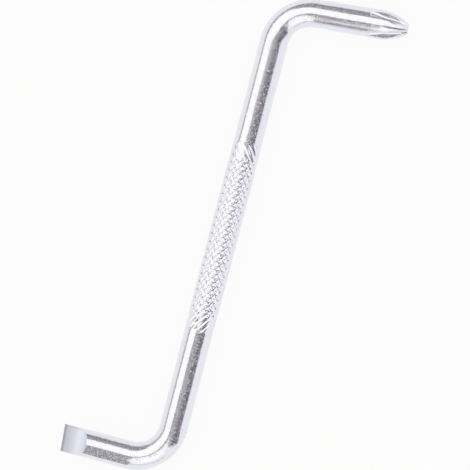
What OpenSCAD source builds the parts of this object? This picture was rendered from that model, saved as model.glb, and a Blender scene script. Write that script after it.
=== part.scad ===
// Two-ended offset screwdriver: one round bar bent twice in one plane.
// It lies flat: +Z is up, the shank runs along Y, the cross point leaves towards +X at the +Y end
// and the slotted blade leaves towards -X at the -Y end.
// The bar is one forging. Its regions are separate solids that meet face to face.

/* [Bar] */
// Diameter of the round bar
bar_d = 6; // [5:0.5:8]
// Length of the shank between the corners where the centre lines would cross
corner_gap = 100.8; // [90:0.2:140]
// Radius on the inside of both bends
bend_inner_r = 5; // [3:0.25:8]

/* [Slotted end] */
// Angle through which the bar turns at the slotted end, in degrees
slotted_turn = 90; // [80:1:100]
// Length of the slotted arm from its corner to the end of the blade
slotted_arm_l = 22.4; // [20:0.1:35]
// Length of the end piece that holds the blade and its run-out
blade_piece_l = 6.4; // [5.8:0.1:8]
// Width of the blade at its end, to which the bar tapers from the arm
blade_w = 5.9; // [5.4:0.1:6]
// Thickness of the blade at its end
blade_t = 1; // [0.6:0.1:1.4]
// Angle of each ground face to the centre plane of the blade, in degrees
blade_face_angle = 8; // [4:0.5:10]
// Length of the flat part of each ground face
blade_flat_l = 2.6; // [1.5:0.1:3]
// Radius of the hollow in which each ground face runs out
blade_hollow_r = 3.3; // [2.8:0.1:3.5]
// Angle of the blade's end off square, in degrees
blade_end_skew = 4.7; // [0:0.1:6]

/* [Knurled grip] */
// Length of the knurl, in the middle of the shank
knurl_l = 42.2; // [30:0.2:50]
// Number of grooves of each hand round the bar
knurl_starts = 14; // [10:1:16]
// Distance along the bar between two grooves of one hand
knurl_pitch = 1.75; // [1.4:0.01:2.4]
// Diameter over the points of the diamonds
knurl_d = 6.25; // [6:0.05:6.6]
// Depth of the grooves below the points
knurl_depth = 0.25; // [0.15:0.05:0.4]
// How much later the right-hand grooves start at the cross end
late_start_l = 4; // [0:0.2:6]
// How much earlier the left-hand grooves stop at the slotted end
early_stop_l = 3; // [0:0.2:6]

/* [Cross end] */
// Angle through which the bar turns at the cross end, in degrees
cross_turn = 85; // [80:1:100]
// Length of the cross arm from its corner to the end of the point
cross_arm_l = 27; // [26:0.2:40]
// Length of the end piece that holds the point and its flutes
tip_piece_l = 11; // [10:0.2:13]
// Diameter of the forged swell behind the point
swell_d = 6.24; // [6:0.02:6.4]
// Length from the end of the point to the back of the full swell
swell_l = 8; // [7:0.1:9]
// Length of the rounded nose
nose_l = 4.6; // [3.5:0.1:5]
// Diameter of the flat on the end of the nose
nose_flat_d = 2.1; // [2:0.05:2.6]
// Length of the flutes from the end of the nose to where they run out
flute_l = 8.4; // [7:0.1:9.5]
// Distance from the axis to the bottom of a flute at the end of the nose
flute_root_r = 0.94; // [0.8:0.02:0.98]
// Angle between the two sides of a flute, in degrees
flute_angle = 90; // [80:1:100]
// Turn of the cross about the axis of its arm, in degrees
cross_roll = 0; // [0:1:45]

/* [Hidden] */
$fn = 96;
// How far a cut runs past the metal that it takes away
overrun = 1;

bar_r = bar_d / 2;
swell_r = swell_d / 2;
nose_flat_r = nose_flat_d / 2;
bend_r = bend_inner_r + bar_r;
plate_color = "silver";
ground_color = "slategray";

// Length that a bend takes up on each side of its corner
function bend_l(turn) = bend_r * tan(turn / 2);

// The nose is a round arc, tangent to the swell, that ends on the flat
nose_drop = swell_r - nose_flat_r;
nose_r = (nose_l * nose_l + nose_drop * nose_drop) / (2 * nose_drop);
// Tilt of the bottom of a flute to the axis, which brings it out at the surface of the swell
flute_tilt = atan((swell_r - flute_root_r) / flute_l);

// Rings of points on the knurl: four to a pitch, with two points to a groove on each ring
knurl_rings = round(knurl_l / (knurl_pitch / 4));
ring_l = knurl_l / knurl_rings;
ring_points = 2 * knurl_starts;
late_rings = round(late_start_l / ring_l);
early_rings = round(early_stop_l / ring_l);
// Rings over which the grooves reach their full depth
fade_rings = 3;

// How far the longer corner of the blade stands out past the middle of its end
blade_slant = blade_w / 2 * tan(blade_end_skew);

// How far each end reaches past its corner, along the shank
function bend_reach(turn) = turn < 90 ? 0 : bend_r + bar_r - bend_l(turn);
slotted_reach = max(
    bend_reach(slotted_turn),
    slotted_arm_l * cos(slotted_turn) + bar_r * sin(slotted_turn)
);
cross_reach = max(
    bend_reach(cross_turn),
    (cross_arm_l - nose_l) * cos(cross_turn) + (swell_r - nose_r) * sin(cross_turn) + nose_r
);
// How far each end reaches away from the shank's centre line
slotted_side = (slotted_arm_l + blade_slant) * sin(slotted_turn);
cross_side = cross_arm_l * sin(cross_turn) + nose_flat_r * abs(cos(cross_turn));

// The origin is under the middle of the tool, on the surface that it lies on
knurl_low_r = knurl_d / 2 * cos(180 / ring_points);
axis_z = max(bar_r, swell_r, knurl_low_r);
axis_x = (slotted_side - cross_side) / 2;
axis_y = (slotted_reach - cross_reach) / 2;

// Sets the tool down on the origin. Before that, the middle of the shank is at the centre.
module placed() {
    translate([axis_x, axis_y, axis_z]) children();
}

// Stands a piece made along +Z on the shank, at a distance from its middle
module on_shank(from) {
    translate([0, from, 0]) rotate([-90, 0, 0]) children();
}

// Stands a piece made along +Z on the corner of an arm, pointing out along the arm
module on_arm(turn, from) {
    translate([0, corner_gap / 2, 0]) rotate([0, 0, 90 - turn]) translate([from, 0, 0]) rotate([0, 90, 0])
        children();
}

// The slotted end is the cross end's layout turned half round in the plane of the tool
module at_slotted_end() {
    rotate([0, 0, 180]) children();
}

module bar(length) {
    cylinder(h = length, d = bar_d);
}

// A bend, in the place of the one at the cross end
module bend(turn) {
    translate([bend_r, corner_gap / 2 - bend_l(turn), 0]) rotate([0, 0, 180 - turn])
        rotate_extrude(angle = turn) translate([bend_r, 0]) circle(d = bar_d);
}

// What the wheel takes off one side of the blade, seen from the blade's edge.
// x runs from the blade's end back along the arm and y out from the centre plane.
module grind_profile() {
    flat_end_y = blade_t / 2 + blade_flat_l * tan(blade_face_angle);
    hollow_x = blade_flat_l - blade_hollow_r * sin(blade_face_angle);
    hollow_y = flat_end_y + blade_hollow_r * cos(blade_face_angle);
    start_x = -blade_slant - overrun;
    top_y = bar_r + overrun;
    translate([hollow_x, hollow_y]) circle(r = blade_hollow_r);
    polygon([
        [start_x, blade_t / 2 + start_x * tan(blade_face_angle)],
        [blade_flat_l, flat_end_y],
        [hollow_x, max(hollow_y, top_y)],
        [start_x, max(hollow_y, top_y)]
    ]);
}

// The blade, made along +Z with its end at the top and its flats facing +X and -X
module blade_shape() {
    difference() {
        cylinder(h = blade_piece_l + blade_slant, d1 = bar_d, d2 = blade_w);
        for (side = [0, 180])
            translate([0, 0, blade_piece_l]) rotate([90, 90, side])
                translate([0, 0, -bar_r - overrun])
                    linear_extrude(bar_d + 2 * overrun) grind_profile();
        translate([0, 0, blade_piece_l]) rotate([-blade_end_skew, 0, 0])
            translate([-bar_d, -bar_d, 0]) cube([2 * bar_d, 2 * bar_d, bar_d]);
    }
}

// Whether a point lies in a left-hand or a right-hand groove.
// step counts quarter grooves round the bar and ring counts quarter pitches along it.
function in_left_groove(step, ring) =
    (step + ring) % 4 == 0 && ring >= early_rings && ring < knurl_rings;
function in_right_groove(step, ring) =
    (step + 3 * ring) % 4 == 0 && ring > 0 && ring <= knurl_rings - late_rings;
function knurl_fade(ring) = min(1, ring / fade_rings, (knurl_rings - ring) / fade_rings);
function knurl_r(step, ring) =
    let (grooved = in_left_groove(step, ring) || in_right_groove(step, ring))
    let (full_r = knurl_d / 2 - (grooved ? knurl_depth : 0))
    bar_r + (full_r - bar_r) * knurl_fade(ring);
function knurl_point(step, ring) =
    let (r = knurl_r(step, ring), turn = step * 360 / (2 * ring_points))
    [r * cos(turn), r * sin(turn), ring * ring_l];
function knurl_index(step, ring) = ring * ring_points + floor((step % (2 * ring_points)) / 2);

// The knurl, made along +Z from the slotted side.
// Points sit on the grooves, on their crossings and on the tips of the diamonds between them.
module knurl_shape() {
    points = [
        for (ring = [0:knurl_rings])
            for (i = [0:ring_points - 1]) knurl_point(2 * i + ring % 2, ring)
    ];
    sides = [
        for (ring = [0:knurl_rings])
            for (i = [0:ring_points - 1])
                let (
                    step = 2 * i + ring % 2,
                    left = knurl_index(step, ring),
                    right = knurl_index(step + 2, ring),
                    above = ring < knurl_rings ? knurl_index(step + 1, ring + 1) : 0,
                    below = ring > 0 ? knurl_index(step + 1, ring - 1) : 0
                )
                each
                    ring == 0 ? [[left, above, right]] :
                    ring == knurl_rings ? [[left, right, below]] :
                    ring % 2 == 0 ? [[left, above, right], [left, right, below]] :
                    [[left, above, below], [below, above, right]]
    ];
    ends = [
        [for (i = [0:ring_points - 1]) i],
        [for (i = [ring_points - 1:-1:0]) knurl_rings * ring_points + i]
    ];
    polyhedron(points, concat(sides, ends));
}

// Outline of the point before its flutes are cut: x is the radius and y the length from the end
module tip_profile() {
    intersection() {
        square([swell_r, nose_l]);
        translate([swell_r - nose_r, nose_l]) circle(r = nose_r);
    }
    polygon([
        [0, nose_l],
        [swell_r, nose_l],
        [swell_r, swell_l],
        [bar_r, tip_piece_l],
        [0, tip_piece_l]
    ]);
}

// One V-shaped flute, cut from the end of the nose until it runs out on the swell
module flute() {
    depth = swell_d;
    half_w = depth * tan(flute_angle / 2);
    translate([flute_root_r, 0, 0]) rotate([0, flute_tilt, 0])
        translate([0, 0, -overrun]) linear_extrude(tip_piece_l + 2 * overrun)
            polygon([[0, 0], [depth, -half_w], [depth, half_w]]);
}

// The cross point, made along +Z from its end backwards
module tip_shape() {
    difference() {
        rotate_extrude() tip_profile();
        for (i = [0:3]) rotate([0, 0, i * 90 + 45]) flute();
    }
}

module slotted_blade() {
    color(ground_color) placed() at_slotted_end()
        on_arm(slotted_turn, slotted_arm_l - blade_piece_l) blade_shape();
}

module slotted_arm() {
    start = bend_l(slotted_turn);
    color(plate_color) placed() at_slotted_end()
        on_arm(slotted_turn, start) bar(slotted_arm_l - blade_piece_l - start);
}

module slotted_bend() {
    color(plate_color) placed() at_slotted_end() bend(slotted_turn);
}

module slotted_shank() {
    start = -corner_gap / 2 + bend_l(slotted_turn);
    color(plate_color) placed() on_shank(start) bar(-knurl_l / 2 - start);
}

module knurled_grip() {
    // The top of the bar lies midway between two rows of diamonds
    color(plate_color) placed() on_shank(-knurl_l / 2) rotate([0, 0, 180 / ring_points])
        knurl_shape();
}

module cross_shank() {
    color(plate_color) placed() on_shank(knurl_l / 2)
        bar(corner_gap / 2 - bend_l(cross_turn) - knurl_l / 2);
}

module cross_bend() {
    color(plate_color) placed() bend(cross_turn);
}

module cross_arm() {
    start = bend_l(cross_turn);
    color(plate_color) placed() on_arm(cross_turn, start) bar(cross_arm_l - tip_piece_l - start);
}

module cross_tip() {
    color(plate_color) placed() on_arm(cross_turn, cross_arm_l)
        mirror([0, 0, 1]) rotate([0, 0, cross_roll]) tip_shape();
}

slotted_blade();
slotted_arm();
slotted_bend();
slotted_shank();
knurled_grip();
cross_shank();
cross_bend();
cross_arm();
cross_tip();
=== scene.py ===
import math

import bmesh
import bpy
import numpy as np
from mathutils import Matrix, Vector


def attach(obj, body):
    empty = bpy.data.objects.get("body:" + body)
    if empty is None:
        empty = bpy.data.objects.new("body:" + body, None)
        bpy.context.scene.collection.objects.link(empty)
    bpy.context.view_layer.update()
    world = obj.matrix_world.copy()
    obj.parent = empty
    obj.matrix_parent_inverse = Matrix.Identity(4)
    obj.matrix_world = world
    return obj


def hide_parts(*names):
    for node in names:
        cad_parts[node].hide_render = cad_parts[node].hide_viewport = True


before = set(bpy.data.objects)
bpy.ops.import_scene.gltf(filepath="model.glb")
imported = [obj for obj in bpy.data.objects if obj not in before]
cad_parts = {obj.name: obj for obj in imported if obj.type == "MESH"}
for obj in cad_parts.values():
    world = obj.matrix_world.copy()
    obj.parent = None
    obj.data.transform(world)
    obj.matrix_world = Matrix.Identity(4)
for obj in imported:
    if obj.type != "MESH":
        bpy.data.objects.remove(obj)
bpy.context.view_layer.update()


# The bar. One length of 6 mm round steel, drawn straight and bent twice in one plane. Its plain straight
# lengths are the shank on both sides of the knurl and the two short arms. Sizes are in millimetres along
# the centre line from the shank's middle, and end 1 is the cross point's, end -1 the slotted blade's.
MM = 0.001
BAR_R = 3.0
SWELL_R = 3.12
BEND_R = 8.0
CORNER_GAP = 100.8
SHANK_MIDDLE = np.array([-2.1731, -1.0419, 3.12])
TURN = {1: math.radians(85), -1: math.radians(90)}
BEND_START = {end: CORNER_GAP / 2 - BEND_R * math.tan(TURN[end] / 2) for end in TURN}
BEND_END = {end: BEND_START[end] + BEND_R * TURN[end] for end in TURN}
BEND_THINNING = 0.025
KNURL_HALF = 21.1
SLOTTED_ARM_L = 8.0
CROSS_ARM_FROM_CORNER = 16.0
SLOTTED_ARM_END = BEND_END[-1] + SLOTTED_ARM_L
CROSS_ARM_END = BEND_END[1] + CROSS_ARM_FROM_CORNER - BEND_R * math.tan(TURN[1] / 2)
SWELL_START = CROSS_ARM_END + 3.5


def centre_line(along):
    """The point of the bent bar's centre line at a distance from the shank's middle."""
    end = 1 if along >= 0 else -1
    run, turn, start = abs(along), TURN[end], BEND_START[end]
    bent = min(max(run - start, 0) / BEND_R, turn)
    past = max(run - BEND_END[end], 0)
    x = BEND_R * (1 - math.cos(bent)) + past * math.sin(turn)
    y = min(run, start) + BEND_R * math.sin(bent) + past * math.cos(turn)
    return SHANK_MIDDLE + end * np.array([x, y, 0.0])


def straightened(points):
    """Where each point lay before the bar was bent: across the bar, above its middle and along it."""
    flat = points - SHANK_MIDDLE
    end = np.where(flat[:, 1] >= 0, 1, -1)
    turn = np.where(end > 0, TURN[1], TURN[-1])
    start = np.where(end > 0, BEND_START[1], BEND_START[-1])
    x, y = flat[:, 0] * end, flat[:, 1] * end
    bent = np.clip(np.arctan2(y - start, BEND_R - x), 0, turn)
    past_x = x - BEND_R * (1 - np.cos(turn))
    past_y = y - start - BEND_R * np.sin(turn)
    past = past_x * np.sin(turn) + past_y * np.cos(turn)
    on_shank, on_arm = y <= start, (y > start) & (past > 0)
    arm_across = past_x * np.cos(turn) - past_y * np.sin(turn)
    bend_across = BEND_R - np.hypot(y - start, BEND_R - x)
    across = np.where(on_shank, x, np.where(on_arm, arm_across, bend_across))
    arm_along = start + BEND_R * turn + past
    along = np.where(on_shank, y, np.where(on_arm, arm_along, start + BEND_R * bent))
    return np.stack([across * end, flat[:, 2], along * end], 1)


def bar_radius(along):
    """Bending draws the bar a little thin at the middle of each bend. The cross arm grows to a swell."""
    run = abs(along)
    end = 1 if along >= 0 else -1
    first, last = BEND_START[end], BEND_END[end]
    if run < last:
        share = max(run - first, 0) / (last - first)
        return BAR_R * (1 - BEND_THINNING / 2 * (1 - math.cos(2 * math.pi * share)))
    share = min((run - last) / (SWELL_START - last), 1) if end > 0 else 0
    return BAR_R + (SWELL_R - BAR_R) * share


def put(tree, kind, *values, **settings):
    """Adds a node. Values go to its inputs in order, or by name in a dict.
    A value that is a socket is linked, and any other is set."""
    made = tree.nodes.new(kind)
    for key, value in settings.items():
        setattr(made, key, value)
    shown = [socket for socket in made.inputs if socket.enabled]
    pairs = [(shown[i], value) for i, value in enumerate(values) if not isinstance(value, dict)]
    for named in (value for value in values if isinstance(value, dict)):
        pairs += [(next(s for s in shown if s.name == key), value) for key, value in named.items()]
    for socket, value in pairs:
        if isinstance(value, bpy.types.NodeSocket):
            tree.links.new(value, socket)
        else:
            socket.default_value = value
    return made


def calc(tree, operation, *values, **settings):
    return put(tree, "ShaderNodeMath", *values, operation=operation, **settings).outputs[0]


def ramp(tree, value, low, high, to_low=0.0, to_high=1.0):
    """A smooth step of a value from low to high."""
    limits = (value, low, high, to_low, to_high)
    return put(tree, "ShaderNodeMapRange", *limits, interpolation_type="SMOOTHSTEP").outputs[0]


def noise(tree, place, scale, detail, rough=0.5):
    values = {"Vector": place, "Scale": scale, "Detail": detail, "Roughness": rough}
    return put(tree, "ShaderNodeTexNoise", values).outputs[0]


def mix_colours(tree, share, first, second):
    """Goes from the first colour to the second as the share goes from 0 to 1."""
    mix = put(tree, "ShaderNodeMix", {"Factor": share}, data_type="RGBA")
    for socket, colour in zip(mix.inputs[6:8], (first, second)):
        if isinstance(colour, bpy.types.NodeSocket):
            tree.links.new(colour, socket)
        else:
            socket.default_value = (*colour, 1)
    return mix.outputs[2]


def new_tree(name, **inputs):
    """A Geometry Nodes group with named inputs. A default is a number, or None for a material."""
    tree = bpy.data.node_groups.new(name, "GeometryNodeTree")
    tree.interface.new_socket("Geometry", in_out="INPUT", socket_type="NodeSocketGeometry")
    tree.interface.new_socket("Geometry", in_out="OUTPUT", socket_type="NodeSocketGeometry")
    for label, value in inputs.items():
        kind = "Material" if value is None else "Int" if isinstance(value, int) else "Float"
        item = tree.interface.new_socket(label, in_out="INPUT", socket_type="NodeSocket" + kind)
        if value is not None:
            item.default_value = value
    return tree, tree.nodes.new("NodeGroupInput").outputs


def end_tree(tree, geometry, material):
    """Every tree ends in Realize Instances and Set Material."""
    real = put(tree, "GeometryNodeRealizeInstances", geometry).outputs[0]
    painted = put(tree, "GeometryNodeSetMaterial", {"Geometry": real, "Material": material}).outputs[0]
    tree.links.new(painted, tree.nodes.new("NodeGroupOutput").inputs[0])


def grow(name, base, tree, **values):
    """Runs a tree on a base mesh and keeps the result as one plain mesh."""
    source = bpy.data.objects.new(name + "_base", base)
    bpy.context.scene.collection.objects.link(source)
    modifier = source.modifiers.new("grow", "NODES")
    modifier.node_group = tree
    for item in tree.interface.items_tree:
        if item.in_out == "INPUT" and item.name in values:
            modifier[item.identifier] = values[item.name]
    bpy.context.view_layer.update()
    grown = source.evaluated_get(bpy.context.evaluated_depsgraph_get())
    made = bpy.data.meshes.new_from_object(grown)
    source.modifiers.remove(modifier)
    bpy.data.objects.remove(source)
    made.name = name
    return made


def piece_from(name, mesh, sharp=30):
    """Makes a piece of a mesh: doubles merged, faces turned outwards, smooth but for its sharp edges.
    Each point keeps its place on the straight bar, on which the finishes are laid out."""
    work = bmesh.new()
    work.from_mesh(mesh)
    bmesh.ops.remove_doubles(work, verts=work.verts, dist=1e-8)
    bmesh.ops.recalc_face_normals(work, faces=work.faces)
    if work.calc_volume(signed=True) < 0:
        bmesh.ops.reverse_faces(work, faces=work.faces)
    work.to_mesh(mesh)
    work.free()
    mesh.shade_smooth()
    mesh.set_sharp_from_angle(angle=math.radians(sharp))
    points = np.zeros(len(mesh.vertices) * 3, np.float32)
    mesh.vertices.foreach_get("co", points)
    places = straightened(points.reshape(-1, 3).astype(float) / MM).astype(np.float32)
    kept = mesh.attributes.new("straight_bar", "FLOAT_VECTOR", "POINT")
    kept.data.foreach_set("vector", places.ravel())
    made = bpy.data.objects.new(name, mesh)
    bpy.context.scene.collection.objects.link(made)
    return made


def new_metal(name):
    """A metal with its tree, and the place on the straight bar that its patterns read."""
    metal = bpy.data.materials.new(name)
    metal.use_nodes = True
    tree = metal.node_tree
    tree.nodes["Principled BSDF"].inputs["Metallic"].default_value = 1.0
    place = put(tree, "ShaderNodeAttribute", attribute_name="straight_bar").outputs["Vector"]
    return metal, tree, place


def finish_metal(tree, colour, roughness, height):
    """Gives a metal its colour, its roughness, and a relief with its height in millimetres."""
    relief = put(tree, "ShaderNodeBump", {"Strength": 1.0, "Distance": MM, "Height": height}).outputs[0]
    shader = tree.nodes["Principled BSDF"]
    for name, value in (("Base Color", colour), ("Roughness", roughness), ("Normal", relief)):
        tree.links.new(value, shader.inputs[name])


# Bright plating over drawn steel: long soft waves left by drawing and polishing, and fine pits under the
# plating that break up every dark reflection into grain. It follows the bar round its bends.
PLATE_GREY = (0.80, 0.80, 0.865)
PLATE_WHITE = (0.85, 0.86, 0.92)
WAVE_H, GRAIN_H, PIT_H = 0.010, 0.006, 0.003
POLISHED, WAVE_DULL, PIT_DULL = 0.04, 0.06, 0.32
DRAWN_OUT = (1.0, 1.0, 0.22)

plating, tree, place = new_metal("bright_plating")
drawn = put(tree, "ShaderNodeMapping", {"Vector": place, "Scale": DRAWN_OUT}).outputs[0]
waves = noise(tree, drawn, scale=0.9, detail=2.0)
grain = noise(tree, place, scale=3.0, detail=3.0, rough=0.6)
pitted = ramp(tree, noise(tree, place, scale=5.0, detail=1.0, rough=0.4), 0.53, 0.63)
height = calc(tree, "MULTIPLY", pitted, PIT_H)
height = calc(tree, "MULTIPLY_ADD", grain, GRAIN_H, height)
height = calc(tree, "MULTIPLY_ADD", waves, WAVE_H, height)
dull = calc(tree, "MULTIPLY_ADD", ramp(tree, waves, 0.45, 0.68), WAVE_DULL, POLISHED)
dull = calc(tree, "MULTIPLY_ADD", pitted, PIT_DULL, dull)
finish_metal(tree, mix_colours(tree, grain, PLATE_GREY, PLATE_WHITE), dull, height)

# A ring drawn along a line, as thick at each point as the line's thickness says
bar_tree, given = new_tree("bar_on_its_line", Radius=BAR_R * MM, Segments=128, Finish=None)
line = put(bar_tree, "GeometryNodeMeshToCurve", given["Geometry"]).outputs[0]
ring = put(bar_tree, "GeometryNodeCurvePrimitiveCircle", {
    "Resolution": given["Segments"], "Radius": given["Radius"]}).outputs[0]
thickness = put(bar_tree, "GeometryNodeInputNamedAttribute", {"Name": "thickness"}, data_type="FLOAT")
tube = put(bar_tree, "GeometryNodeCurveToMesh", {
    "Curve": line, "Profile Curve": ring, "Scale": thickness.outputs["Attribute"], "Fill Caps": True})
end_tree(bar_tree, tube.outputs[0], given["Finish"])


def bar_piece(name, first, last, count):
    """A length of the bar between two places on its centre line, through a number of points."""
    runs = np.linspace(first, last, count)
    base = bpy.data.meshes.new(name + "_line")
    base.from_pydata([centre_line(run) * MM for run in runs], [(i, i + 1) for i in range(count - 1)], [])
    shares = [bar_radius(run) / BAR_R for run in runs]
    base.attributes.new("thickness", "FLOAT", "POINT").data.foreach_set("value", shares)
    return piece_from(name, grow(name, base, bar_tree, Finish=plating))


for name, first, last in (
    ("slotted_shank", -BEND_START[-1], -KNURL_HALF),
    ("cross_shank", KNURL_HALF, BEND_START[1]),
    ("slotted_arm", -SLOTTED_ARM_END, -BEND_END[-1]),
    ("cross_arm", BEND_END[1], CROSS_ARM_END),
):
    straight = bar_piece(name + "_bar", first, last, count=40)
    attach(straight, "root")
    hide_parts(name)


# The two elbows. The bar is bent cold round a former, so the elbows are the same bar,
# drawn a little thinner, with the polish carried round them.
for name, end in (("slotted_bend", -1), ("cross_bend", 1)):
    elbow = bar_piece(name + "_elbow", end * BEND_START[end], end * BEND_END[end], count=97)
    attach(elbow, "root")
    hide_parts(name)


# The knurl. Two hardened wheels roll crossed V grooves into the middle of the shank before plating, and
# raise the metal between them. The left-hand grooves stop short of the slotted side and the right-hand
# ones of the cross side. Their half widths are shares of the step from groove to groove.
knurl_tree, given = new_tree(
    "rolled_knurl", Radius=BAR_R * MM, Crest=3.125 * MM, Depth=0.17 * MM, Length=2 * KNURL_HALF * MM,
    Starts=14, Left_pitch=1.775 * MM, Right_pitch=1.739 * MM, Left_phase=0.25, Right_phase=0.25,
    Left_gap=3.0 * MM, Right_gap=3.5 * MM, Fade=1.0 * MM, Rise_length=8.0 * MM,
    Groove_half=0.40, Floor_half=0.04, Segments=224, Rings=384, Finish=None,
)
stock = put(knurl_tree, "GeometryNodeMeshCylinder", {
    "Vertices": given["Segments"], "Side Segments": given["Rings"],
    "Radius": given["Radius"], "Depth": given["Length"]}).outputs[0]
position = put(knurl_tree, "GeometryNodeInputPosition").outputs[0]
spot = put(knurl_tree, "ShaderNodeSeparateXYZ", position).outputs
turned = calc(knurl_tree, "DIVIDE", calc(knurl_tree, "ARCTAN2", spot["Y"], spot["X"]), 2 * math.pi)
round_steps = calc(knurl_tree, "MULTIPLY", turned, given["Starts"])
half_length = calc(knurl_tree, "MULTIPLY", given["Length"], 0.5)
from_slotted = calc(knurl_tree, "ADD", spot["Z"], half_length)
from_cross = calc(knurl_tree, "SUBTRACT", half_length, spot["Z"])
from_end = calc(knurl_tree, "MINIMUM", from_slotted, from_cross)
wall_width = calc(knurl_tree, "SUBTRACT", given["Groove_half"], given["Floor_half"])
grooves = []
for hand, sense, from_side in (("Left", 1, from_slotted), ("Right", -1, from_cross)):
    advance = calc(knurl_tree, "DIVIDE", spot["Z"], given[hand + "_pitch"])
    advance = calc(knurl_tree, "MULTIPLY", advance, sense)
    wound = calc(knurl_tree, "ADD", round_steps, advance)
    wound = calc(knurl_tree, "ADD", wound, given[hand + "_phase"])
    off_centre = calc(knurl_tree, "SUBTRACT", wound, calc(knurl_tree, "ROUND", wound))
    off_centre = calc(knurl_tree, "ABSOLUTE", off_centre)
    inside = calc(knurl_tree, "SUBTRACT", given["Groove_half"], off_centre)
    wall = calc(knurl_tree, "DIVIDE", inside, wall_width, use_clamp=True)
    start = given[hand + "_gap"]
    whole = calc(knurl_tree, "ADD", start, given["Fade"])
    grooves.append(calc(knurl_tree, "MULTIPLY", wall, ramp(knurl_tree, from_side, start, whole)))

# The crests rise evenly from the knurl's ends, and the grooves start there at half their depth
risen = calc(knurl_tree, "DIVIDE", from_end, given["Rise_length"], use_clamp=True)
crest = calc(knurl_tree, "SUBTRACT", given["Crest"], given["Radius"])
crest = calc(knurl_tree, "MULTIPLY", crest, risen)
pressed = calc(knurl_tree, "MULTIPLY", given["Depth"], calc(knurl_tree, "MAXIMUM", *grooves))
pressed = calc(knurl_tree, "MULTIPLY", pressed, calc(knurl_tree, "MULTIPLY_ADD", risen, 0.5, 0.5))
pressed = calc(knurl_tree, "MULTIPLY", pressed, ramp(knurl_tree, from_end, 0.0, given["Fade"]))
new_radius = calc(knurl_tree, "ADD", given["Radius"], calc(knurl_tree, "SUBTRACT", crest, pressed))
growth = calc(knurl_tree, "DIVIDE", new_radius, given["Radius"])
new_x, new_y = (calc(knurl_tree, "MULTIPLY", spot[axis], growth) for axis in ("X", "Y"))
moved = put(knurl_tree, "ShaderNodeCombineXYZ", new_x, new_y, spot["Z"]).outputs[0]
rolled = put(knurl_tree, "GeometryNodeSetPosition", {"Geometry": stock, "Position": moved}).outputs[0]
end_tree(knurl_tree, rolled, given["Finish"])

knurl_mesh = grow("knurl", bpy.data.meshes.new("knurl_seed"), knurl_tree, Finish=plating)
along_shank = Matrix.Rotation(math.radians(-90), 4, "X")
knurl_mesh.transform(Matrix.Translation(Vector(SHANK_MIDDLE * MM)) @ along_shank)
knurl = piece_from("knurl", knurl_mesh, sharp=80)
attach(knurl, "root")
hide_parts("knurled_grip")


# The slotted blade. The end of the bar is ground on both sides to flat faces of fine, satin grey steel.
# Each face runs out through the hollow that the wheel leaves, and the end is cut a little off square.
BLADE_L = 6.4
BLADE_HALF_T = 0.5
BLADE_HALF_W = 2.95
BLADE_EASE = 0.05
FLAT_L = 2.6
FACE_ANGLE = math.radians(8)
FACE_SLOPE = math.tan(FACE_ANGLE)
HOLLOW_R = 3.6
HOLLOW_X = FLAT_L - HOLLOW_R * math.sin(FACE_ANGLE)
HOLLOW_Z = BLADE_HALF_T + FLAT_L * FACE_SLOPE + HOLLOW_R * math.cos(FACE_ANGLE)
RUN_OUT = HOLLOW_X + math.sqrt(HOLLOW_R ** 2 - (HOLLOW_Z - BAR_R) ** 2)
NARROWEST_FACE = math.radians(82)
END_SKEW = math.tan(math.radians(4.7))
NEAR_FACE = 0.02
STEEL_DARK = (0.41, 0.43, 0.52)
STEEL_BRIGHT = (0.875, 0.90, 1.0)
GRIND_LINES = (0.35, 0.35, 9.0)
GRIND_H = 0.006

# Grinding lines run across the faces. The faces are darker at the cut end and along both side edges, and
# are painted brighter towards the bar, which is painted light standing in for the brighter tone of the
# ground hollow.
ground, tree, place = new_metal("ground_steel")
lines_at = put(tree, "ShaderNodeMapping", {"Vector": place, "Scale": GRIND_LINES}).outputs[0]
lines = noise(tree, lines_at, scale=1.4, detail=4.0, rough=0.65)
cloud = noise(tree, place, scale=0.8, detail=2.0)
spot = put(tree, "ShaderNodeSeparateXYZ", place).outputs
from_cut = calc(tree, "ADD", spot["Z"], SLOTTED_ARM_END + BLADE_L)
from_cut = calc(tree, "MULTIPLY_ADD", spot["X"], -END_SKEW, from_cut)
behind_end = ramp(tree, from_cut, 0.25, 0.75, to_high=0.44)
# Painted light: the face is painted brighter from the cut end towards the bar and into the hollow
painted_light_towards_bar = ramp(tree, from_cut, 0.4, 4.8, to_high=0.62)
left_edge = ramp(tree, spot["X"], -BLADE_HALF_W, -2.35, to_low=0.55)
right_edge = ramp(tree, spot["X"], 2.98, 2.75, to_low=0.7)
bright = calc(tree, "ADD", behind_end, painted_light_towards_bar)
bright = calc(tree, "MULTIPLY", calc(tree, "MULTIPLY", left_edge, right_edge), bright)
bright = calc(tree, "MULTIPLY_ADD", cloud, 0.12, bright)
bright = calc(tree, "MULTIPLY_ADD", lines, 0.14, bright)
bright = calc(tree, "SUBTRACT", bright, 0.13, use_clamp=True)
dull = ramp(tree, lines, 0.3, 0.7, to_low=0.50, to_high=0.62)
height = calc(tree, "MULTIPLY", lines, GRIND_H)
finish_metal(tree, mix_colours(tree, bright, STEEL_DARK, STEEL_BRIGHT), dull, height)


def stations(start, *stretches):
    """Places from a start through stretches, each given as its end and the number of steps to it."""
    places = [start]
    for stop, steps in stretches:
        places += [*np.linspace(places[-1], stop, steps + 1)[1:]]
    return places


def loft(name, rings):
    """A closed mesh through rings of points, with a flat face on each end."""
    count = len(rings[0])
    points = [tuple(np.array(point) * MM) for ring in rings for point in ring]
    faces = []
    for row in range(0, len(points) - count, count):
        for i in range(count):
            after = (i + 1) % count
            faces.append((row + i, row + after, row + count + after, row + count + i))
    faces += [tuple(range(count))[::-1], tuple(range(len(points) - count, len(points)))]
    mesh = bpy.data.meshes.new(name)
    mesh.from_pydata(points, [], faces)
    return mesh


def half_thickness(x):
    """Half the blade's thickness at a distance from its end."""
    if x <= FLAT_L:
        return BLADE_HALF_T + x * FACE_SLOPE
    return HOLLOW_Z - math.sqrt(max(HOLLOW_R ** 2 - (x - HOLLOW_X) ** 2, 0))


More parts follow.
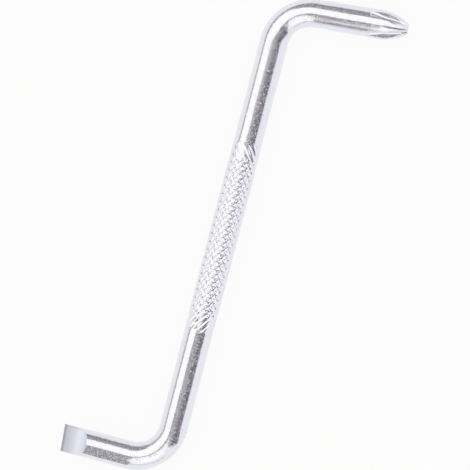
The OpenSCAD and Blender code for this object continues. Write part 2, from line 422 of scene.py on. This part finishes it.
blade_rings = []
for x in stations(0, (FLAT_L, 13), (RUN_OUT, 43), (BLADE_L, 7)):
    radius = BLADE_HALF_W + (BAR_R - BLADE_HALF_W) * x / BLADE_L
    half = half_thickness(x) if x < RUN_OUT else BAR_R
    edge = math.asin(min(half / radius, math.sin(NARROWEST_FACE)))
    # A quarter of the section runs round the bar's side, and over the ground face to its middle
    quarter = [(radius * math.cos(a), radius * math.sin(a)) for a in np.linspace(0, edge, 11)[:-1]]
    for y in np.linspace(radius * math.cos(edge), 0, 17)[:-1]:
        quarter.append((y, min(math.sqrt(radius ** 2 - y ** 2), half)))
    top = min(radius, half)
    section = quarter + [(0, top)] + [(-y, z) for y, z in quarter[::-1]]
    section += [(-y, -z) for y, z in quarter[1:]] + [(0, -top)] + [(y, -z) for y, z in quarter[:0:-1]]
    skew = END_SKEW * (1 - min(x / FLAT_L, 1))
    middle = centre_line(-(SLOTTED_ARM_END + BLADE_L - x))
    blade_rings.append([(middle[0] - y * skew, middle[1] + y, middle[2] + z) for y, z in section])
blade_mesh = loft("blade", blade_rings)
blade_mesh.materials.append(ground)
blade_mesh.materials.append(plating)
blade = piece_from("blade", blade_mesh, sharp=25)
# Both faces and the cut end show ground steel, and the rest shows the bright plating
for face in blade.data.polygons:
    across, above, along = straightened(np.array([face.center / MM]))[0]
    x = SLOTTED_ARM_END + BLADE_L - abs(along)
    if x < FLAT_L:
        x = (x - across * END_SKEW) / (1 - across * END_SKEW / FLAT_L)
    on_face = x < NEAR_FACE or (x < RUN_OUT and abs(above) > half_thickness(x) - NEAR_FACE)
    face.material_index = 0 if on_face else 1
easing = blade.modifiers.new("eased_edges", "BEVEL")
easing.width = BLADE_EASE * MM
easing.segments = 2
easing.limit_method = "ANGLE"
easing.angle_limit = math.radians(28)
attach(blade, "root")
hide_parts("slotted_blade")


# The cross point. The end of the bar is upset to a swell and turned to a bullet nose with a small flat.
# Four flutes are milled or forged into it, run out on the swell and leave four wings. The pairs below
# give a size at distances from the point's end.
TIP_L = 11.0
NOSE_L = 6.0
NOSE_FLAT_R = 1.05
NOSE_R = (NOSE_L ** 2 + (SWELL_R - NOSE_FLAT_R) ** 2) / (2 * (SWELL_R - NOSE_FLAT_R))
FLUTE_L = 8.0
WING_HALVES = ((0.0, 0.72), (FLUTE_L, 1.56), (TIP_L, 3.75))
FLUTE_FILLETS = ((0.0, 0.36), (4.0, 0.60), (5.0, 0.60), (TIP_L, 1.62))
WING_CROWN = 0.5
WHOLE_CROWN, CROWN_END = 2.0, 5.2
EDGE_EASE = 0.03
EDGE_TURN = 0.03
END_EASE = 0.08
EIGHTH_TURN = math.pi / 4


def size_at(z, pairs):
    return np.interp(z, *zip(*pairs))


def nose_radius(z):
    """Radius of the point before its flutes, at a distance from its end."""
    if z < NOSE_L:
        return SWELL_R - NOSE_R + math.sqrt(NOSE_R ** 2 - (NOSE_L - z) ** 2)
    return bar_radius(CROSS_ARM_END + TIP_L - z)


def fillet_turn(z):
    """The angle from a flute's middle at which its round bottom meets its flat wall."""
    wing = size_at(z, WING_HALVES)
    return EIGHTH_TURN - math.atan2(wing, wing + size_at(z, FLUTE_FILLETS))


def flute_radius(turn, z):
    """Distance from the axis to the wall of a flute, at an angle from the flute's middle."""
    wing, fillet = size_at(z, WING_HALVES), size_at(z, FLUTE_FILLETS)
    if turn < fillet_turn(z):
        centre = math.sqrt(2) * (wing + fillet)
        across = centre * math.sin(turn)
        return centre * math.cos(turn) - math.sqrt(max(fillet ** 2 - across ** 2, 0))
    return wing / math.sin(EIGHTH_TURN - turn)


def wing_radius(turn, z):
    """Radius of the outside of a wing. Towards the nose the wings are crowned: rounder than the bar."""
    share = min(max((CROWN_END - z) / (CROWN_END - WHOLE_CROWN), 0), 1)
    crown = WING_CROWN * share * share * (3 - 2 * share)
    return nose_radius(z) * (1 - crown * (EIGHTH_TURN - turn) ** 2)


def edge_turn(z):
    """The angle from a flute's middle at which its wall meets the outside of the wing."""
    low, high = math.radians(0.5), math.radians(44.5)
    for _ in range(40):
        turn = (low + high) / 2
        low, high = (turn, high) if flute_radius(turn, z) < wing_radius(turn, z) else (low, turn)
    return turn


def point_radius(turn, z):
    """Radius of the finished point, whose edges between wing and flute and round its end are eased."""
    wing = wing_radius(turn, z)
    gap = min(flute_radius(turn, z) - wing, 1.0)
    eased = wing + (gap - math.sqrt(gap ** 2 + 4 * EDGE_EASE ** 2)) / 2
    from_end = 1 - min(z / END_EASE, 1)
    return eased - END_EASE * (1 - math.sqrt(1 - from_end ** 2))


arm_way = centre_line(CROSS_ARM_END) - centre_line(BEND_END[1] + 0.01)
arm_way /= np.linalg.norm(arm_way)
arm_side = np.array([-arm_way[1], arm_way[0], 0.0])
tip_end = centre_line(CROSS_ARM_END + TIP_L)
tip_rings = []
rounded_end = END_EASE * (1 - np.cos(np.linspace(0, math.pi / 2, 6)))
for z in [*rounded_end[:-1], *stations(END_EASE, (NOSE_L, 43), (FLUTE_L, 19), (TIP_L, 39))]:
    # From the middle of a flute to the middle of a wing, in steps that are finest over the edge
    edge = edge_turn(z)
    floor_end = min(fillet_turn(z), edge * 0.9)
    before = max(edge - EDGE_TURN, floor_end + (edge - floor_end) * 0.3)
    after = min(edge + EDGE_TURN, EIGHTH_TURN - (EIGHTH_TURN - edge) * 0.6)
    half = stations(0.0, (floor_end, 10), (before, 4), (after, 8), (EIGHTH_TURN, 10))
    section = [-turn for turn in half[:0:-1]] + half[:-1]
    reaches = [point_radius(abs(turn), z) for turn in section]
    ring_points = []
    for flute in range(4):
        for turn, reach in zip(section, reaches):
            angle = turn + math.radians(45 + 90 * flute)
            point = tip_end - arm_way * z + arm_side * reach * math.sin(angle)
            ring_points.append((point[0], point[1], point[2] - reach * math.cos(angle)))
    tip_rings.append(ring_points)
tip_mesh = loft("cross_point", tip_rings)
tip_mesh.materials.append(plating)
tip = piece_from("cross_point", tip_mesh, sharp=25)
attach(tip, "root")
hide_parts("cross_tip")


# The table and the studio. A pale sheet lies under the tool, and the camera looks almost straight down
# on it. The light is a large white tent with a dark gap round the camera, which the plating mirrors as
# its dark bands. Sizes are in metres.
FRAME_TURN = math.radians(14.925)
IMAGE_RIGHT = Vector((math.cos(FRAME_TURN), math.sin(FRAME_TURN), 0))
IMAGE_UP = Vector((-math.sin(FRAME_TURN), math.cos(FRAME_TURN), 0))
LEAN_RIGHT = math.radians(5)
LEAN_UP = math.radians(4)
AIM = Vector((0.000120, -0.000104, 0.00312))
DISTANCE = 2.0
FRAME_W = 0.099974
SENSOR_W = 36.0
SHEET_HALF = 2
SHEET_Z = -2e-5
SHEET_IN_METAL = 0.86
SHEET_IN_VIEW = 0.90
TENT_WHITE = (1.21, 1.20, 1.16)
TENT_PALE = (0.93, 0.91, 0.92)
TENT_COOL = (0.97, 0.98, 1.0)
GAP_LEFT = (0.345, 0.32, 0.33)
GAP_RIGHT = (0.185, 0.165, 0.195)

lean = IMAGE_RIGHT * math.tan(LEAN_RIGHT) + IMAGE_UP * math.tan(LEAN_UP)
to_camera = (Vector((0, 0, 1)) + lean).normalized()
camera_right = (IMAGE_RIGHT - to_camera * IMAGE_RIGHT.dot(to_camera)).normalized()
camera_up = to_camera.cross(camera_right)
camera = bpy.data.objects.new("camera", bpy.data.cameras.new("camera"))
bpy.context.scene.collection.objects.link(camera)
turned = Matrix((camera_right, camera_up, to_camera)).transposed().to_4x4()
camera.matrix_world = Matrix.Translation(AIM + to_camera * DISTANCE) @ turned
camera.data.sensor_width = SENSOR_W
camera.data.lens = SENSOR_W * DISTANCE / FRAME_W
camera.data.clip_end = 20.0
bpy.context.scene.camera = camera

floor_mesh = bpy.data.meshes.new("floor")
corners = [(x * SHEET_HALF, y * SHEET_HALF, SHEET_Z) for x, y in ((-1, -1), (1, -1), (1, 1), (-1, 1))]
floor_mesh.from_pydata(corners, [], [(0, 1, 2, 3)])
floor = bpy.data.objects.new("floor", floor_mesh)
bpy.context.scene.collection.objects.link(floor)
sheet = bpy.data.materials.new("pale_sheet")
sheet.use_nodes = True
tree = sheet.node_tree
tree.nodes.clear()
paper = noise(tree, put(tree, "ShaderNodeTexCoord").outputs["Object"], scale=30.0, detail=3.0)
tone = ramp(tree, paper, 0.2, 0.8, to_low=0.88, to_high=0.92)
grey = put(tree, "ShaderNodeCombineXYZ", tone, tone, tone).outputs[0]
lit = put(tree, "ShaderNodeBsdfDiffuse", {"Color": grey}).outputs[0]
glow = put(tree, "ShaderNodeEmission", {"Color": (1, 1, 1, 1), "Strength": 1.0}).outputs[0]
ray = put(tree, "ShaderNodeLightPath").outputs
seen = calc(tree, "ADD", ray["Is Camera Ray"], ray["Is Transmission Ray"], use_clamp=True)
seen = calc(tree, "MULTIPLY", seen, SHEET_IN_VIEW)
seen = calc(tree, "MULTIPLY_ADD", ray["Is Glossy Ray"], SHEET_IN_METAL, seen, use_clamp=True)
blend = put(tree, "ShaderNodeMixShader", seen, lit, glow).outputs[0]
tree.links.new(blend, put(tree, "ShaderNodeOutputMaterial").inputs[0])
floor_mesh.materials.append(sheet)

world = bpy.data.worlds.new("studio")
bpy.context.scene.world = world
world.use_nodes = True
tree = world.node_tree
tree.nodes.clear()

# The tent is laid out as a mirror ball under the camera would show it: ball_x to the right and ball_y
# up, from -1 to 1, or ball_r from the ball's middle and ball_turn round it in degrees.
way = put(tree, "ShaderNodeTexCoord").outputs["Generated"]
half_way = put(tree, "ShaderNodeVectorMath", way, tuple(to_camera)).outputs[0]
half_way = put(tree, "ShaderNodeVectorMath", half_way, operation="NORMALIZE").outputs[0]
ball_x, ball_y = (
    put(tree, "ShaderNodeVectorMath", half_way, tuple(axis), operation="DOT_PRODUCT").outputs["Value"]
    for axis in (camera_right, camera_up)
)
squares = [calc(tree, "POWER", value, 2.0) for value in (ball_x, ball_y)]
ball_r = calc(tree, "SQRT", calc(tree, "ADD", *squares))
ball_turn = calc(tree, "DEGREES", calc(tree, "ARCTAN2", ball_y, ball_x))


def curve(value, low, high, *pairs):
    """Reads a value between -1 and 1 from a table of points, with straight lines between them."""
    share = put(tree, "ShaderNodeMapRange", value, low, high, 0.0, 1.0).outputs[0]
    table = put(tree, "ShaderNodeFloatCurve", {"Value": share})
    line = table.mapping.curves[0]
    while len(line.points) < len(pairs):
        line.points.new(0.5, 0.5)
    for point, (x, y) in zip(line.points, pairs):
        point.location = ((x - low) / (high - low), y * 0.5 + 0.5)
        point.handle_type = "VECTOR"
    table.mapping.update()
    return calc(tree, "MULTIPLY_ADD", table.outputs[0], 2.0, -1.0)


def between(value, low, high, soft, soft_high=None):
    """1 between two limits and 0 outside them, with soft borders."""
    soft_high = soft if soft_high is None else soft_high
    above = ramp(tree, calc(tree, "SUBTRACT", value, low), -soft, soft)
    below = ramp(tree, calc(tree, "SUBTRACT", high, value), -soft_high, soft_high)
    return calc(tree, "MULTIPLY", above, below)


# A dark arc above, which narrows and pales as it comes round to the left
arc_in = curve(
    ball_turn, -180, 180,
    (14, 0.50), (30, 0.50), (42, 0.48), (54, 0.46), (66, 0.44), (78, 0.41), (84, 0.37),
    (90, 0.335), (103, 0.39), (120, 0.45), (125, 0.55), (150, 0.575), (178, 0.60))
arc_out = curve(
    ball_turn, -180, 180,
    (14, 0.56), (30, 0.51), (42, 0.46), (56, 0.66), (70, 0.70), (81, 0.74),
    (95, 0.80), (118, 0.80), (126, 0.72), (140, 0.70), (165, 0.69), (178, 0.69))
arc_depth = curve(
    ball_turn, -180, 180,
    (14, 0.0), (20, 0.8), (95, 1.0), (118, 0.95), (126, 0.82), (140, 0.85), (178, 0.92))
arc = between(ball_r, arc_in, arc_out, soft=0.015, soft_high=0.045)
arc = calc(tree, "MULTIPLY", arc, arc_depth)

# A dark wedge to the right, whose point reaches just past the middle
wedge_top = curve(
    ball_x, -1, 1,
    (-1, -0.3), (-0.27, -0.085), (-0.20, -0.034), (-0.14, -0.038), (-0.07, -0.058), (0, -0.045),
    (0.12, -0.06), (0.3, -0.10), (0.45, -0.13), (1, -0.2))
wedge_low = curve(
    ball_x, -1, 1,
    (-1, -0.02), (-0.2, -0.08), (-0.1, -0.098), (-0.06, -0.112), (-0.02, -0.14), (0.02, -0.178),
    (0.15, -0.30), (0.26, -0.370), (0.34, -0.395), (0.44, -0.43), (1, -0.5))
wedge_end = ramp(tree, calc(tree, "MULTIPLY_ADD", ball_y, 0.35, ball_x), 0.355, 0.405, 1.0, 0.0)
wedge = calc(tree, "MULTIPLY", between(ball_y, wedge_low, wedge_top, soft=0.012), wedge_end)

# A dark field below and to the left
field_edge = curve(
    ball_y, -1, 1,
    (-1, -0.25), (-0.70, -0.21), (-0.63, -0.175), (-0.57, -0.145), (-0.53, -0.135), (-0.47, -0.143),
    (-0.40, -0.147), (-0.33, -0.135), (-0.26, -0.112), (-0.18, -0.09), (-0.1, -0.075), (1, -0.06))
field = between(ball_x, -0.29, field_edge, soft=0.05, soft_high=0.010)
field = calc(tree, "MULTIPLY", field, between(ball_y, -0.70, -0.09, soft=0.02))

# A thin line round the lower right, where two sheets of the tent meet
seam_y = curve(
    ball_x, -1, 1,
    (-1, -0.56), (-0.17, -0.56), (-0.05, -0.61), (0.10, -0.645), (0.25, -0.625), (0.36, -0.58),
    (1, -0.5))
seam = between(calc(tree, "SUBTRACT", ball_y, seam_y), -0.02, 0.02, soft=0.012)
seam = calc(tree, "MULTIPLY", seam, between(ball_x, -0.15, 0.33, soft=0.03))
seam = calc(tree, "MULTIPLY", seam, 0.6)

# A soft grey panel low on the left, past both arms
panel = between(ball_turn, -150, -112, soft=8.0)
panel = calc(tree, "MULTIPLY", panel, between(ball_r, 0.46, 0.74, soft=0.06))
panel = calc(tree, "MULTIPLY", panel, 0.75)

# Through the dark patches the gap in the tent shows, darker towards the right
dark = arc
for patch in (wedge, field, seam, panel):
    dark = calc(tree, "MAXIMUM", dark, patch)
gap = mix_colours(tree, ramp(tree, ball_x, -0.05, 0.30), GAP_LEFT, GAP_RIGHT)

# The tent's white sheets are brightest round the camera, and cooler towards the lower right
right, up = (calc(tree, "MULTIPLY", value, 0.7) for value in (ball_x, ball_y))
lower_right = ramp(tree, calc(tree, "SUBTRACT", right, up), -0.4, 0.4)
pale = mix_colours(tree, lower_right, TENT_PALE, TENT_COOL)
outwards = ramp(tree, calc(tree, "MULTIPLY_ADD", ball_x, 0.2, ball_r), 0.50, 0.60)
white = mix_colours(tree, outwards, TENT_WHITE, pale)
tent = mix_colours(tree, dark, white, gap)
light = put(tree, "ShaderNodeBackground", {"Color": tent, "Strength": 1.0}).outputs[0]
plain = put(tree, "ShaderNodeBackground", {"Color": (1, 1, 1, 1), "Strength": 1.0}).outputs[0]
by_camera = put(tree, "ShaderNodeLightPath").outputs["Is Camera Ray"]
view = put(tree, "ShaderNodeMixShader", by_camera, light, plain).outputs[0]
tree.links.new(view, put(tree, "ShaderNodeOutputWorld").inputs[0])

bpy.context.scene.view_settings.view_transform = "Standard"
